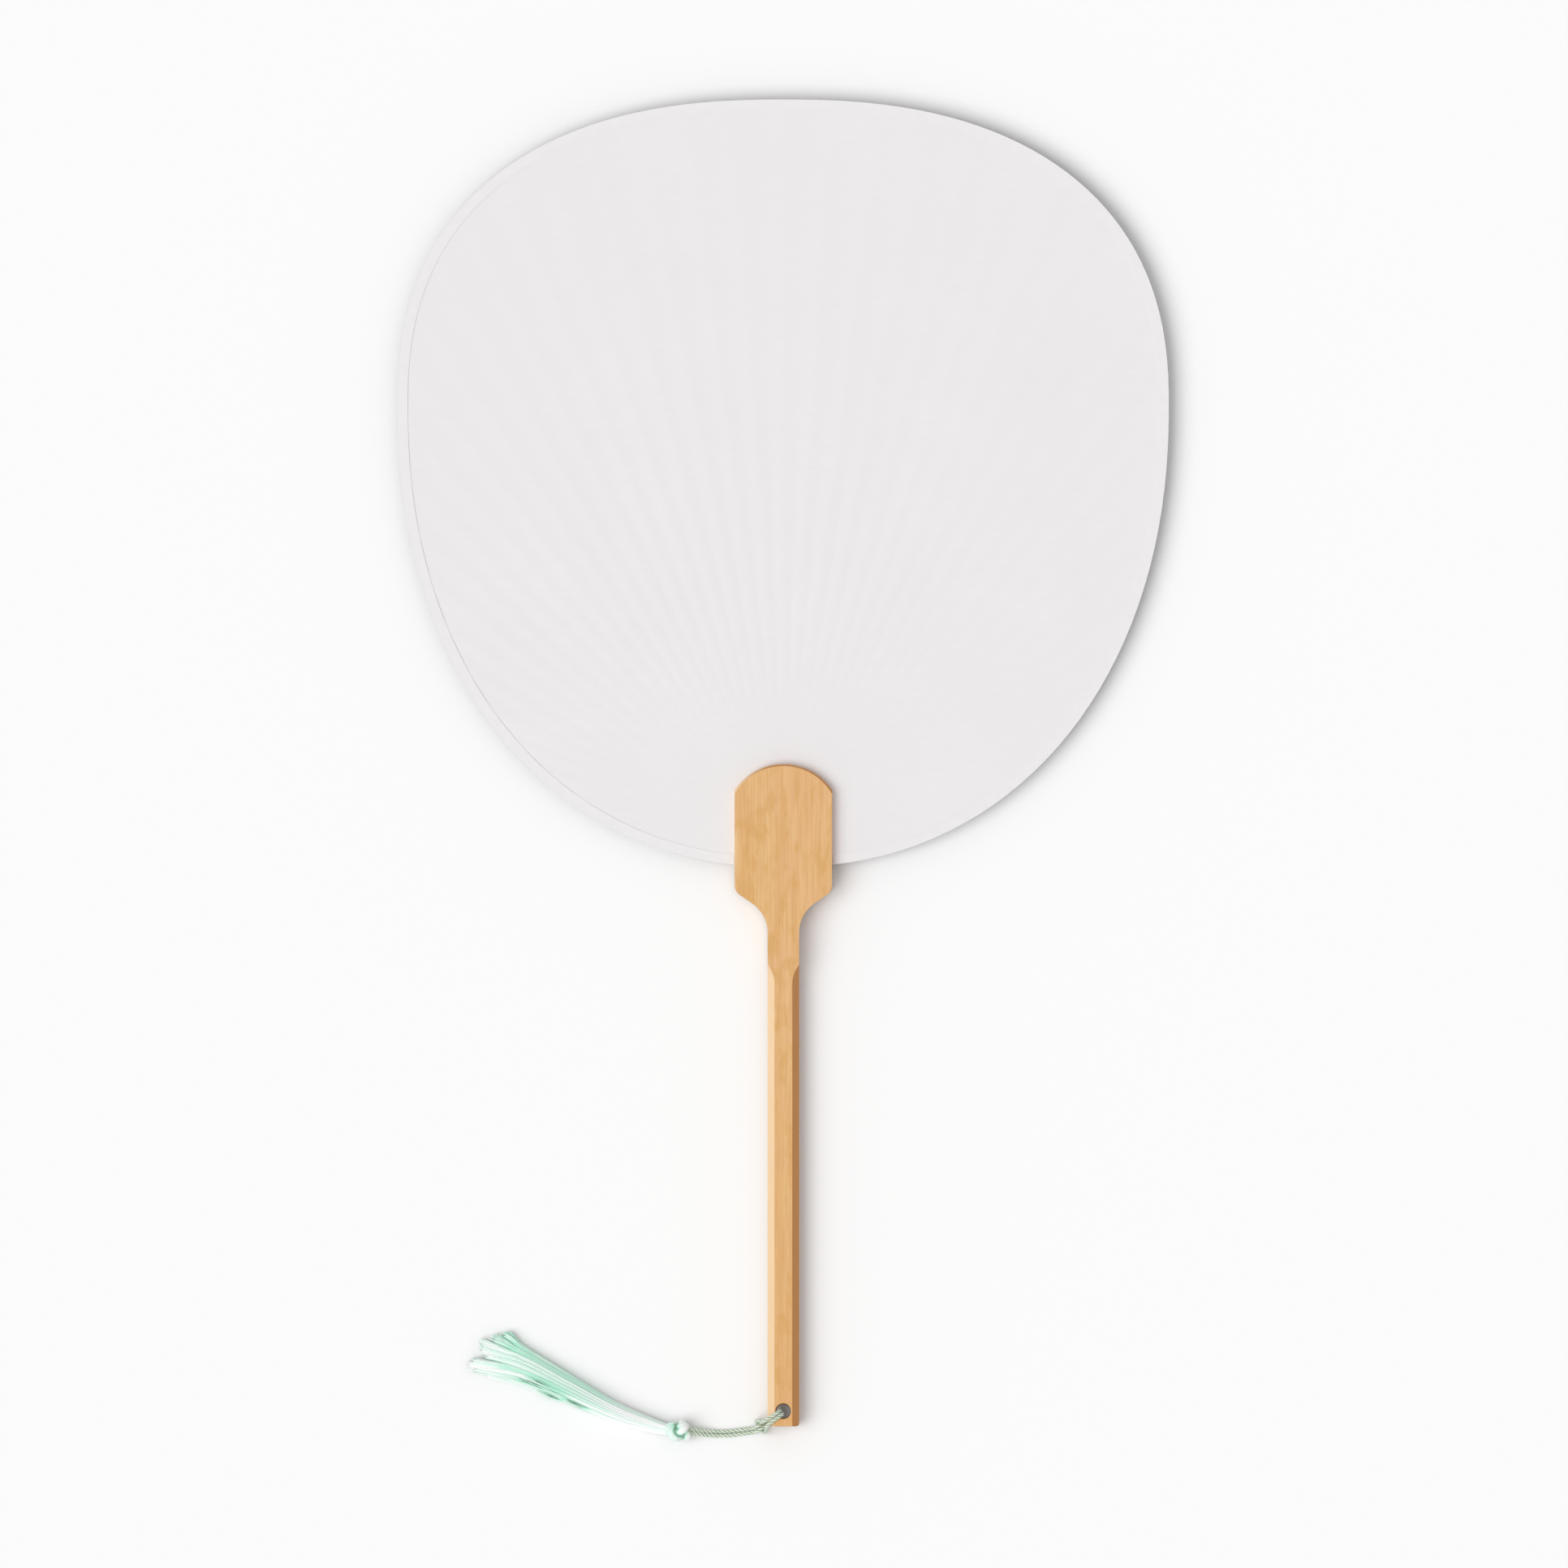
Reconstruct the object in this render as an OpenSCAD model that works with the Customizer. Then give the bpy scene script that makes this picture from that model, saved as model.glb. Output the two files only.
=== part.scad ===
// Round uchiwa fan lying on its back: a ribbed paper leaf glued into the slotted head of a flat handle,
// with a doubled cord hitched through the handle's end and a silk tassel on the cord.
// The leaf's faces look along +Z and -Z, +Y points to the top of the leaf, and the origin is the middle
// of the fan without its cord.

/* [Leaf] */
// Widest width of the leaf over its binding
leaf_w = 237.5; // [180:0.5:260]
// Height from the widest level to the top of the leaf
leaf_up = 94.5; // [80:0.5:115]
// Height from the widest level down to the foot of the leaf
leaf_down = 142; // [115:0.5:165]
// Roundness power of the upper half of the outline (2 is an ellipse)
upper_power = 2.4; // [2:0.01:2.8]
// Roundness power of the lower half of the outline
lower_power = 2.16; // [2:0.01:2.6]
// Thickness of each paper
paper_t = 0.2; // [0.1:0.05:0.3]

/* [Ribs] */
// Number of split bamboo ribs
rib_count = 41; // [25:2:47]
// Thickness of a rib
rib_t = 0.5; // [0.3:0.05:0.8]
// Width of a rib at its root in the slot
rib_root_w = 0.42; // [0.3:0.02:0.46]
// Width of a rib at its tip under the binding
rib_tip_w = 1.1; // [0.6:0.1:1.6]
// Angle of the outermost ribs from the leaf's middle line
rib_spread = 75; // [60:1:80]
// Depth of the ribs' common centre below the top of the handle's head
rib_centre_depth = 27.6; // [24:0.1:29]
// Radius about that centre where the ribs' roots start
rib_root_r = 10; // [9.5:0.1:12]
// Gap from a rib's tip to the edge of the papers
rib_tip_gap = 0.6; // [0.4:0.1:2]

/* [Edge binding] */
// Thickness of the folded paper strip
binding_t = 0.15; // [0.1:0.05:0.3]
// Width of the strip on each face of the leaf
binding_w = 3; // [1.5:0.1:6]
// Gap between the end of the strip and the side of the handle's head
binding_end_gap = 0.3; // [0.1:0.1:1]

/* [Handle] */
// Length of the handle from the top of its head to its end
handle_len = 204; // [170:0.5:240]
// Thickness of the handle
handle_t = 7; // [6:0.1:9]
// Length of the head's middle that covers the foot of the leaf
head_lap = 31.75; // [31:0.25:36]
// Width of the head
head_w = 30; // [27:0.5:34]
// Radius of the arc across the top of the head
head_arc_r = 18; // [17.5:0.5:24]
// Depth of the bevel along that arc
head_bevel = 0.6; // [0.3:0.1:1]
// Depth from the head's top to the start of the shoulders
head_side_depth = 37.4; // [36:0.1:50]
// Radius that rounds each shoulder
shoulder_r = 3.5; // [2:0.1:4]
// Slope of the shoulders, from the handle's length
shoulder_angle = 56; // [45:1:65]
// Radius of the hollow from the shoulder into the stick
neck_r = 11; // [8:0.5:13]
// Width of the stick
stick_w = 9.7; // [8.6:0.1:11]
// Width of the bevel along the stick's four long edges
stick_bevel = 2.1; // [1:0.1:2.4]
// Length of the stick that has the full bevel
bevel_len = 136.4; // [100:0.1:137]
// Radius of the cutter that ends the bevel in a scoop
bevel_scoop_r = 12; // [8:0.5:14]
// Radius of the stick's two end corners
end_corner_r = 1; // [0.5:0.1:1.5]
// Clearance of the leaf in the slot, on each face
slot_gap = 0.05; // [0.03:0.01:0.1]
// Clearance under the foot of the leaf in the slot
slot_foot_gap = 0.3; // [0.1:0.1:1]

/* [Cord hole] */
// Diameter of the cord hole
hole_d = 4.2; // [4:0.1:5]
// Height of the hole's centre above the end of the handle
hole_up = 4.7; // [4:0.1:5]
// Depth of the eased rim at both mouths of the hole
hole_rim = 0.4; // [0.2:0.1:0.6]

/* [Cord and tassel] */
// Diameter of the cord
cord_d = 1.2; // [1:0.05:1.25]
// Radius of the tassel's knot, seen from above
knot_r = 3.6; // [3:0.1:4]
// Half height of the tassel's knot
knot_rise = 3.3; // [2.8:0.1:3.6]
// Depth of the flat on the knot where the threads leave it
knot_flat = 0.65; // [0.4:0.05:0.9]
// Gap between the cord's legs and the knot
knot_gap = 0.2; // [0.1:0.05:0.5]

/* [Hidden] */

// Levels along Y
total_len = leaf_up + leaf_down + handle_len - head_lap;
leaf_top = total_len / 2;
leaf_mid = leaf_top - leaf_up;
leaf_foot = leaf_mid - leaf_down;
head_top = leaf_foot + head_lap;
handle_end = head_top - handle_len;
hole_y = handle_end + hole_up;
arc_y = head_top - head_arc_r;
shoulder_y = head_top - head_side_depth;
bevel_top = handle_end + bevel_len;
slot_foot = leaf_foot - slot_foot_gap;
rib_y = head_top - rib_centre_depth;

// Levels along Z
face_z = handle_t / 2;
leaf_t = rib_t + 2 * paper_t;
slot_t = leaf_t + 2 * slot_gap;

// The shoulder's straight flank joins its round top to the hollow of the neck
flank_len = (head_w / 2 - stick_w / 2 - (shoulder_r + neck_r) * (1 - cos(shoulder_angle)))
    / sin(shoulder_angle);
flank_top_x = head_w / 2 - shoulder_r * (1 - cos(shoulder_angle));
flank_top_y = shoulder_y - shoulder_r * sin(shoulder_angle);
flank_foot_x = flank_top_x - flank_len * sin(shoulder_angle);
flank_foot_y = flank_top_y - flank_len * cos(shoulder_angle);
neck_x = stick_w / 2 + neck_r;
neck_y = flank_foot_y - neck_r * sin(shoulder_angle);

// Room that cutters run past what they cut
past = 1;

// Half of the leaf's outline at a turn of the angle, drawn in from the rim by inset
outline_steps = 144;
function signed_power(v, p) = sign(v) * pow(abs(v), p);
function outline_point(a, inset) =
    let (
        n = sin(a) >= 0 ? upper_power : lower_power,
        h = sin(a) >= 0 ? leaf_up : leaf_down
    )
    [(leaf_w / 2 - inset) * signed_power(cos(a), 2 / n),
     leaf_mid + (h - inset) * signed_power(sin(a), 2 / n)];
function outline(inset) =
    [for (i = [0:outline_steps - 1]) outline_point(360 * (i + 0.5) / outline_steps, inset)];

// How far a point lies inside the leaf's outline: under 1 is inside
function reach(p, inset) =
    let (
        up = p[1] >= leaf_mid,
        n = up ? upper_power : lower_power,
        h = up ? leaf_up : leaf_down
    )
    pow(abs(p[0]) / (leaf_w / 2 - inset), n) + pow(abs(p[1] - leaf_mid) / (h - inset), n);

// Distance from the ribs' centre to the outline along a direction, halved down step by step
halvings = 24;
function ray(a, r) = [r * sin(a), rib_y + r * cos(a)];
function rim_distance(a, inset, near, far, left) =
    left == 0 ? near :
    let (middle = (near + far) / 2)
    reach(ray(a, middle), inset) < 1
        ? rim_distance(a, inset, middle, far, left - 1)
        : rim_distance(a, inset, near, middle, left - 1);

function rib_name(i) = str("rib_", i < 10 ? "0" : "", i);
function rib_angle(i) = rib_spread * (2 * (i - 1) / (rib_count - 1) - 1);

// The cord runs just off the handle's two faces, and lies on the table at this level
lie_z = -4.3;
table_z = lie_z - cord_d / 2;

// The hitch lies along this direction from the hole. Its points are along it, across it and up.
hitch_angle = 214.7;
function from_hole(p) =
    [p[0] * cos(hitch_angle) - p[1] * sin(hitch_angle),
     hole_y + p[0] * sin(hitch_angle) + p[1] * cos(hitch_angle),
     p[2]];

// One half of the cord's fold: round the legs, over the front face, through the hole and out behind
fold_half = [
    [8.8, 0.9, lie_z], [8.7, 2.25, -2.95], [8.1, 2.25, -1.1], [7.5, 1.6, 1], [7.3, 1, 2.9],
    [5.9, 0.7, 4.3], [3.9, 0.65, 4.3], [1.9, 0.65, 4.3], [0.6, 0.65, 3], [0.6, 0.65, 0],
    [0.6, 0.65, -3], [1.9, 0.65, lie_z], [3.9, 0.65, lie_z], [6.5, 0.65, lie_z],
    [7.9, 0.65, -2.65], [9.6, 0.65, -2.65]];
function other_half(points) = [for (p = points) [p[0], -p[1], p[2]]];
function turned_round(points) = [for (i = [len(points) - 1:-1:0]) points[i]];

// The two ends of the hitch, where the legs take over
end_1 = [[11.1, 0.24, lie_z], [13.89, -1.16, lie_z]];
end_2 = [[10.9, -1.04, lie_z], [13.35, -2.35, lie_z]];

hitch_route = [for (p = concat(
    turned_round(concat(other_half(fold_half), end_2)),
    fold_half,
    end_1)) from_hole(p)];

// The legs lie side by side on the table and climb to the knot
leg_1 = [[-12.28, -206.66, lie_z], [-17.2, -207.3, lie_z], [-22, -207.25, -4.2],
    [-26, -206.8, -2.8], [-28.35, -206.6, -2]];
leg_2 = [[-12.51, -205.38, lie_z], [-17.2, -206, lie_z], [-22, -205.95, -4.2],
    [-26, -205.5, -2.8], [-28.35, -205.3, -2]];

// A soft curve that leaves each point of a route as a rounded corner of so many rings
rings_in_hitch = 2;
rings_in_leg = 1;
function eased(p, rings_each) = concat(
    [p[0]],
    [for (i = [1:len(p) - 2]) for (j = [0:rings_each - 1])
        let (
            t = j / rings_each,
            a = (p[i - 1] + p[i]) / 2,
            b = (p[i] + p[i + 1]) / 2
        )
        (1 - t) * (1 - t) * a + 2 * t * (1 - t) * p[i] + t * t * b],
    [(p[len(p) - 2] + p[len(p) - 1]) / 2, p[len(p) - 1]]);

// A tube swept along points, its rings turned as little as the route allows
cord_sides = 8;
function unit(v) = v / norm(v);
function heading(p, i) =
    unit(p[min(i + 1, len(p) - 1)] - p[max(i - 1, 0)]);
function square_to(v, t) = unit(v - (v * t) * t);
function sides_of(p, i, v) =
    i == len(p) ? [] :
    let (s = square_to(v, heading(p, i)))
    concat([s], sides_of(p, i + 1, s));
module tube(p, d) {
    first_side = [0.1, 0.2, 1];
    side = sides_of(p, 0, first_side);
    last = (len(p) - 1) * cord_sides;
    points = [for (i = [0:len(p) - 1]) for (k = [0:cord_sides - 1])
        let (
            a = 360 * (k + 0.5) / cord_sides,
            up = side[i],
            out = cross(heading(p, i), up)
        )
        p[i] + d / 2 * (cos(a) * up + sin(a) * out)];
    walls = [for (i = [0:len(p) - 2]) for (k = [0:cord_sides - 1])
        let (
            a = i * cord_sides + k,
            b = i * cord_sides + (k + 1) % cord_sides
        )
        each [[a, a + cord_sides, b + cord_sides], [a, b + cord_sides, b]]];
    start_cap = [for (k = [1:cord_sides - 2]) [0, k, k + 1]];
    end_cap = [for (k = [1:cord_sides - 2]) [last, last + k + 1, last + k]];
    polyhedron(points, concat(walls, start_cap, end_cap));
}

// The tassel's knot, with a flat where the threads leave it
knot_x = leg_1[len(leg_1) - 1][0] - knot_gap - knot_r;
knot_y = -206;
knot_z = table_z + knot_rise;
tassel_root_x = knot_x - knot_r + knot_flat;

// The skirt's upper and lower edges at stations down its length: x, upper y, lower y, height
skirt_edges = [
    [tassel_root_x, -204, -207.6, 4], [-37, -202.4, -207.9, 5.6], [-41, -200, -207.2, 6.4],
    [-51, -195.8, -205.2, 6.6], [-61, -189.5, -201.3, 6.4], [-71, -184.3, -197, 6],
    [-81, -178, -192, 5.2]];
// Tip of each lock from the lower edge to the upper one, and how thick it is there
lock_tips = [
    [-90.5, -188.6, 1.6], [-94, -187.8, 2.2], [-97.5, -185.2, 2.4], [-96.3, -183.6, 2.2],
    [-95.5, -182.2, 2.2], [-94, -180.6, 2], [-93.4, -179.3, 2], [-92.5, -177.8, 2.2],
    [-89.5, -176.2, 2]];
lock_tip_w = 1;
lock_overlap = 1.35;
lock_sides = 8;
// The outer locks are thinner than the middle ones, so the bundle is round
outer_thinning = 0.75;
function lock_height(f, h) = h * sqrt(1 - outer_thinning * f * f);
module lock(i) {
    n = len(lock_tips);
    f = (i + 0.5) / n;
    width = lock_overlap / n;
    rings = concat(
        [for (s = skirt_edges)
            [s[0], s[2] + (s[1] - s[2]) * f, (s[1] - s[2]) * width, lock_height(2 * f - 1, s[3])]],
        [[lock_tips[i][0], lock_tips[i][1], lock_tip_w, lock_tips[i][2]]]);
    last = (len(rings) - 1) * lock_sides;
    points = [for (r = rings) for (k = [0:lock_sides - 1])
        let (a = 360 * (k + 0.5) / lock_sides)
        [r[0], r[1] + r[2] / 2 * cos(a), table_z + r[3] / 2 * (1 + sin(a))]];
    walls = [for (j = [0:len(rings) - 2]) for (k = [0:lock_sides - 1])
        let (
            a = j * lock_sides + k,
            b = j * lock_sides + (k + 1) % lock_sides
        )
        each [[a, b, b + lock_sides], [a, b + lock_sides, a + lock_sides]]];
    start_cap = [for (k = [1:lock_sides - 2]) [0, k + 1, k]];
    end_cap = [for (k = [1:lock_sides - 2]) [last, last + k, last + k + 1]];
    polyhedron(points, concat(walls, start_cap, end_cap));
}

// A flat piece with the leaf's outline, from one level to another
module leaf_plate(inset, low, high) {
    translate([0, 0, low])
        linear_extrude(high - low)
            polygon(outline(inset));
}

module paper(low) {
    leaf_plate(binding_t, low, low + paper_t);
}

module rib(i) {
    a = rib_angle(i);
    far = leaf_up + leaf_down;
    tip = rim_distance(a, binding_t + rib_tip_gap, rib_root_r, far, halvings);
    color("#d9c08c")
        translate([0, rib_y, -rib_t / 2])
            rotate(-a)
                linear_extrude(rib_t)
                    polygon([
                        [-rib_root_w / 2, rib_root_r], [rib_root_w / 2, rib_root_r],
                        [rib_tip_w / 2, tip], [-rib_tip_w / 2, tip]]);
}

module front_paper() {
    color("#ecebea")
        paper(rib_t / 2);
}

module back_paper() {
    color("#e6e4e2")
        paper(-rib_t / 2 - paper_t);
}

module edge_binding() {
    half_t = leaf_t / 2 + binding_t;
    color("#f4f3f1")
        difference() {
            leaf_plate(0, -half_t, half_t);
            leaf_plate(binding_t, -leaf_t / 2, leaf_t / 2);
            leaf_plate(binding_w, -half_t - past, half_t + past);
            translate([-head_w / 2 - binding_end_gap, leaf_foot - past, -half_t - past])
                cube([head_w + 2 * binding_end_gap, head_lap, 2 * half_t + 2 * past]);
        }
}

// The head's plain block, its arched top bevelled on both faces
module head_block() {
    translate([-head_w / 2, shoulder_y, -face_z])
        cube([head_w, arc_y - shoulder_y, handle_t]);
    intersection() {
        translate([-head_w / 2, arc_y, -face_z])
            cube([head_w, head_arc_r, handle_t]);
        translate([0, arc_y, 0])
            union() {
                cylinder(h = handle_t - 2 * head_bevel, r = head_arc_r, center = true, $fn = 96);
                for (side = [0, 1])
                    mirror([0, 0, side])
                        translate([0, 0, face_z - head_bevel])
                            cylinder(h = head_bevel, r1 = head_arc_r, r2 = head_arc_r - head_bevel,
                                $fn = 96);
            }
    }
}

// The shoulders, from the head's full width down to the stick's
module shoulders() {
    translate([0, 0, -face_z])
        linear_extrude(handle_t)
            difference() {
                union() {
                    polygon([
                        [-head_w / 2 + shoulder_r, shoulder_y], [head_w / 2 - shoulder_r, shoulder_y],
                        [flank_top_x, flank_top_y], [flank_foot_x, flank_foot_y],
                        [neck_x, neck_y], [-neck_x, neck_y],
                        [-flank_foot_x, flank_foot_y], [-flank_top_x, flank_top_y]]);
                    for (side = [-1, 1])
                        translate([side * (head_w / 2 - shoulder_r), shoulder_y])
                            circle(r = shoulder_r, $fn = 48);
                }
                for (side = [-1, 1])
                    translate([side * neck_x, neck_y])
                        circle(r = neck_r, $fn = 96);
            }
}

module stick_outline() {
    polygon([
        [-stick_w / 2, neck_y + past], [-stick_w / 2, handle_end + end_corner_r],
        [-stick_w / 2 + end_corner_r, handle_end], [stick_w / 2 - end_corner_r, handle_end],
        [stick_w / 2, handle_end + end_corner_r], [stick_w / 2, neck_y + past]]);
    for (side = [-1, 1])
        translate([side * (stick_w / 2 - end_corner_r), handle_end + end_corner_r])
            circle(r = end_corner_r, $fn = 32);
}

// Takes one long edge off the stick: a flat bevel that ends in a scoop
module edge_cutter() {
    flat = (stick_w / 2 + face_z - stick_bevel) / sqrt(2);
    reach_out = stick_bevel * sqrt(2);
    rotate([0, -45, 0])
        translate([flat, 0, 0]) {
            translate([0, handle_end - past, -reach_out])
                cube([reach_out, bevel_len + past, 2 * reach_out]);
            translate([bevel_scoop_r, bevel_top, 0])
                cylinder(h = 2 * reach_out, r = bevel_scoop_r, center = true, $fn = 96);
        }
}

module cord_hole() {
    translate([0, hole_y, 0]) {
        cylinder(h = handle_t + 2 * past, d = hole_d, center = true, $fn = 48);
        for (side = [0, 1])
            mirror([0, 0, side])
                translate([0, 0, face_z - hole_rim])
                    cylinder(h = hole_rim + past, r1 = hole_d / 2, r2 = hole_d / 2 + hole_rim + past,
                        $fn = 48);
    }
}

module handle() {
    color("#e0b27c")
        difference() {
            union() {
                head_block();
                shoulders();
                translate([0, 0, -face_z])
                    linear_extrude(handle_t)
                        stick_outline();
            }
            translate([-head_w, slot_foot, -slot_t / 2])
                cube([2 * head_w, head_top - slot_foot + past, slot_t]);
            for (across = [0, 1], over = [0, 1])
                mirror([across, 0, 0])
                    mirror([0, 0, over])
                        edge_cutter();
            cord_hole();
        }
}

module cord_loop() {
    color("#e6f2ec")
        tube(eased(hitch_route, rings_in_hitch), cord_d);
}

module cord_leg_1() {
    color("#e6f2ec")
        tube(eased(leg_1, rings_in_leg), cord_d);
}

module cord_leg_2() {
    color("#e6f2ec")
        tube(eased(leg_2, rings_in_leg), cord_d);
}

module tassel_knot() {
    steps = 24;
    color("#d6efe3")
        difference() {
            translate([knot_x, knot_y, knot_z])
                rotate_extrude($fn = 48)
                    polygon([for (i = [0:steps])
                        let (a = 180 * i / steps - 90)
                        [knot_r * cos(a), knot_rise * sin(a)]]);
            translate([tassel_root_x - knot_r, knot_y - knot_r, knot_z - knot_r])
                cube([knot_r, 2 * knot_r, 2 * knot_r]);
        }
}

module tassel_skirt() {
    color("#d2f0e2")
        for (i = [0:len(lock_tips) - 1])
            lock(i);
}

handle();
front_paper();
back_paper();
edge_binding();
for (i = [1:rib_count])
    rib(i);
cord_loop();
cord_leg_1();
cord_leg_2();
tassel_knot();
tassel_skirt();
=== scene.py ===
"""Looks of the round uchiwa fan: a paper leaf on bamboo ribs, a handle, and a tassel on a cord.

The fan lies on its back on a pale table. The frame is the part's own: X across the leaf, Y up the
handle, Z out of the front face, in metres. Sizes are written in millimetres and multiplied by MM.
"""
import math
import random

import bmesh
import bpy
from mathutils import Matrix, Vector, noise


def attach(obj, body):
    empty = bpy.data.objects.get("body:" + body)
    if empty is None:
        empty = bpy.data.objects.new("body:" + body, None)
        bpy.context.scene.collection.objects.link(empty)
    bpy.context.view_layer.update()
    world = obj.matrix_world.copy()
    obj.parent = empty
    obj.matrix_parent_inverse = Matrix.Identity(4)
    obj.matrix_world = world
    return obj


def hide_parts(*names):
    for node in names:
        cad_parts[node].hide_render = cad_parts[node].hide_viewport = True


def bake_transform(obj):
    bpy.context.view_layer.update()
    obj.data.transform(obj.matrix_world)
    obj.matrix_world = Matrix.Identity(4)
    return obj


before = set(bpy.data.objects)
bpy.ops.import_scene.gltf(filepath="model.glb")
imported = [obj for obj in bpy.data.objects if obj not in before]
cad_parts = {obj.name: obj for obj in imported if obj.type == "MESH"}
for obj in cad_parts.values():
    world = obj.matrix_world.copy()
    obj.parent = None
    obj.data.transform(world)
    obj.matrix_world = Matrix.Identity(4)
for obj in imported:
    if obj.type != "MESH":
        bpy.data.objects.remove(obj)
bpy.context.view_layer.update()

MM = 0.001


# Ribs: forty-one slips of bamboo, split half a millimetre thick, that fan out from the handle.
# They are glued between the two papers and end just inside the rim, so the paper hides them all.
# Their solids are kept as they are, and only get their material.


def linear(code):
    """An sRGB hex colour as the linear one that a shader takes."""
    parts = [int(code[i:i + 2], 16) / 255 for i in (1, 3, 5)]
    return [c / 12.92 if c <= 0.04045 else ((c + 0.055) / 1.055) ** 2.4 for c in parts] + [1]


def surface(name):
    """A new material, and its shader."""
    made = bpy.data.materials.new(name)
    made.use_nodes = True
    return made, made.node_tree.nodes["Principled BSDF"]


def add(material, kind, links, **settings):
    """Adds a node with its settings. Each link gives an input a value or another node's output."""
    made = material.node_tree.nodes.new("ShaderNode" + kind)
    for field, value in settings.items():
        setattr(made, field, value)
    for key, value in links.items():
        if isinstance(value, bpy.types.NodeSocket):
            material.node_tree.links.new(value, made.inputs[key])
        else:
            made.inputs[key].default_value = value
    return made


# Split bamboo: dull straw with a faint mottle 1 mm wide.
split_bamboo, shader = surface("split_bamboo_slip")
shader.inputs["Roughness"].default_value = 0.55
place = add(split_bamboo, "TexCoord", {})
fibre = add(split_bamboo, "TexNoise", {"Vector": place.outputs["Object"], "Scale": 900.0})
slip = add(split_bamboo, "Mix", {
    0: fibre.outputs["Fac"], 6: linear("#CDB078"), 7: linear("#E2CD9C")}, data_type="RGBA")
split_bamboo.node_tree.links.new(slip.outputs[2], shader.inputs["Base Color"])
for name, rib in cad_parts.items():
    if name.startswith("rib_"):
        rib.data.materials.clear()
        rib.data.materials.append(split_bamboo)


# Leaf: two sheets of plain washi paper, cut to one outline and pasted to both sides of the ribs.
# Each sheet sinks a little between the ribs, so they show as faint rays from the handle.
leaf_w, leaf_up, leaf_down = 237.5, 94.5, 142
upper_power, lower_power = 2.4, 2.16
leaf_mid = 109.875
fold_t = 0.15
rib_count = 41
rib_spread = math.radians(75)
rib_y = -27.975
rib_half_t = 0.25
paper_t = 0.2
# Between two ribs the paper sinks by paper_sag. It stays flat beside a rib, where it is pasted, and
# slopes down from there. It sinks less near the handle, where the ribs are close, and near the rim.
paper_sag = 0.09
pasted_by = 0.5
slope_w = 2.6
full_sag_at = 60
rim_hold = 6
around_steps = 672
out_steps = 22
halvings = 24
crease_angle = math.radians(35)


def inside(x, y, inset):
    """Under 1 inside the leaf's outline, drawn in from its rim by inset."""
    power, height = (upper_power, leaf_up) if y >= leaf_mid else (lower_power, leaf_down)
    return (abs(x / (leaf_w / 2 - inset)) ** power
            + abs((y - leaf_mid) / (height - inset)) ** power)


def rim_distance(angle, inset):
    """Distance from the ribs' common centre to the outline along a direction, by halving."""
    near, far = 0, leaf_up + leaf_down
    for _ in range(halvings):
        middle = (near + far) / 2
        within = inside(middle * math.sin(angle), rib_y + middle * math.cos(angle), inset) < 1
        near, far = (middle, far) if within else (near, middle)
    return near


def sunk(angle, reach):
    """How far the paper sinks at a place: nothing over a rib, most midway between two."""
    pitch = 2 * rib_spread / (rib_count - 1)
    beside = abs((angle + pitch / 2) % pitch - pitch / 2)
    if abs(angle) > rib_spread:
        beside = min(pitch / 2, abs(angle) - rib_spread)
    slope = min(1, max(0, (beside * reach - pasted_by) / slope_w))
    return paper_sag * slope * slope * (3 - 2 * slope) * min(1, reach / full_sag_at)


def finished(name, bm, material, body=None):
    """Makes a smooth piece of a bmesh, creased where it turns sharply, and rides it on its body."""
    bmesh.ops.recalc_face_normals(bm, faces=bm.faces)
    for face in bm.faces:
        face.smooth = True
    mesh = bpy.data.meshes.new(name)
    bm.to_mesh(mesh)
    bm.free()
    mesh.set_sharp_from_angle(angle=crease_angle)
    mesh.materials.append(material)
    piece = bpy.data.objects.new(name, mesh)
    bpy.context.scene.collection.objects.link(piece)
    if body:
        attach(piece, body)
    return piece


# Plain washi: matt and nearly white, with a faint trace of the fibres it was made from.
washi, shader = surface("plain_washi_paper")
shader.inputs["Roughness"].default_value = 0.85
place = add(washi, "TexCoord", {})
# Long fibres, drawn 2.4 mm wide and 8 mm long, where they are finer, and soft clouds 33 mm across
strands = add(washi, "Mapping", {"Vector": place.outputs["Object"], "Scale": (120, 420, 1),
                                 "Rotation": (0, 0, 0.5)})
fibre = add(washi, "TexNoise", {
    "Vector": strands.outputs[0], "Scale": 1.0, "Detail": 4.0, "Distortion": 1.5})
cloud = add(washi, "TexNoise", {"Vector": place.outputs["Object"], "Scale": 30.0})
both = add(washi, "Math", {0: fibre.outputs["Fac"], 1: cloud.outputs["Fac"]}, operation="MULTIPLY")
sheet = add(washi, "Mix", {
    0: both.outputs[0], 6: linear("#EAE7E8"), 7: linear("#F1EEEF")}, data_type="RGBA")
washi.node_tree.links.new(sheet.outputs[2], shader.inputs["Base Color"])
relief = add(washi, "Bump", {"Height": fibre.outputs["Fac"], "Strength": 0.1, "Distance": 0.1 * MM})
washi.node_tree.links.new(relief.outputs[0], shader.inputs["Normal"])

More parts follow.
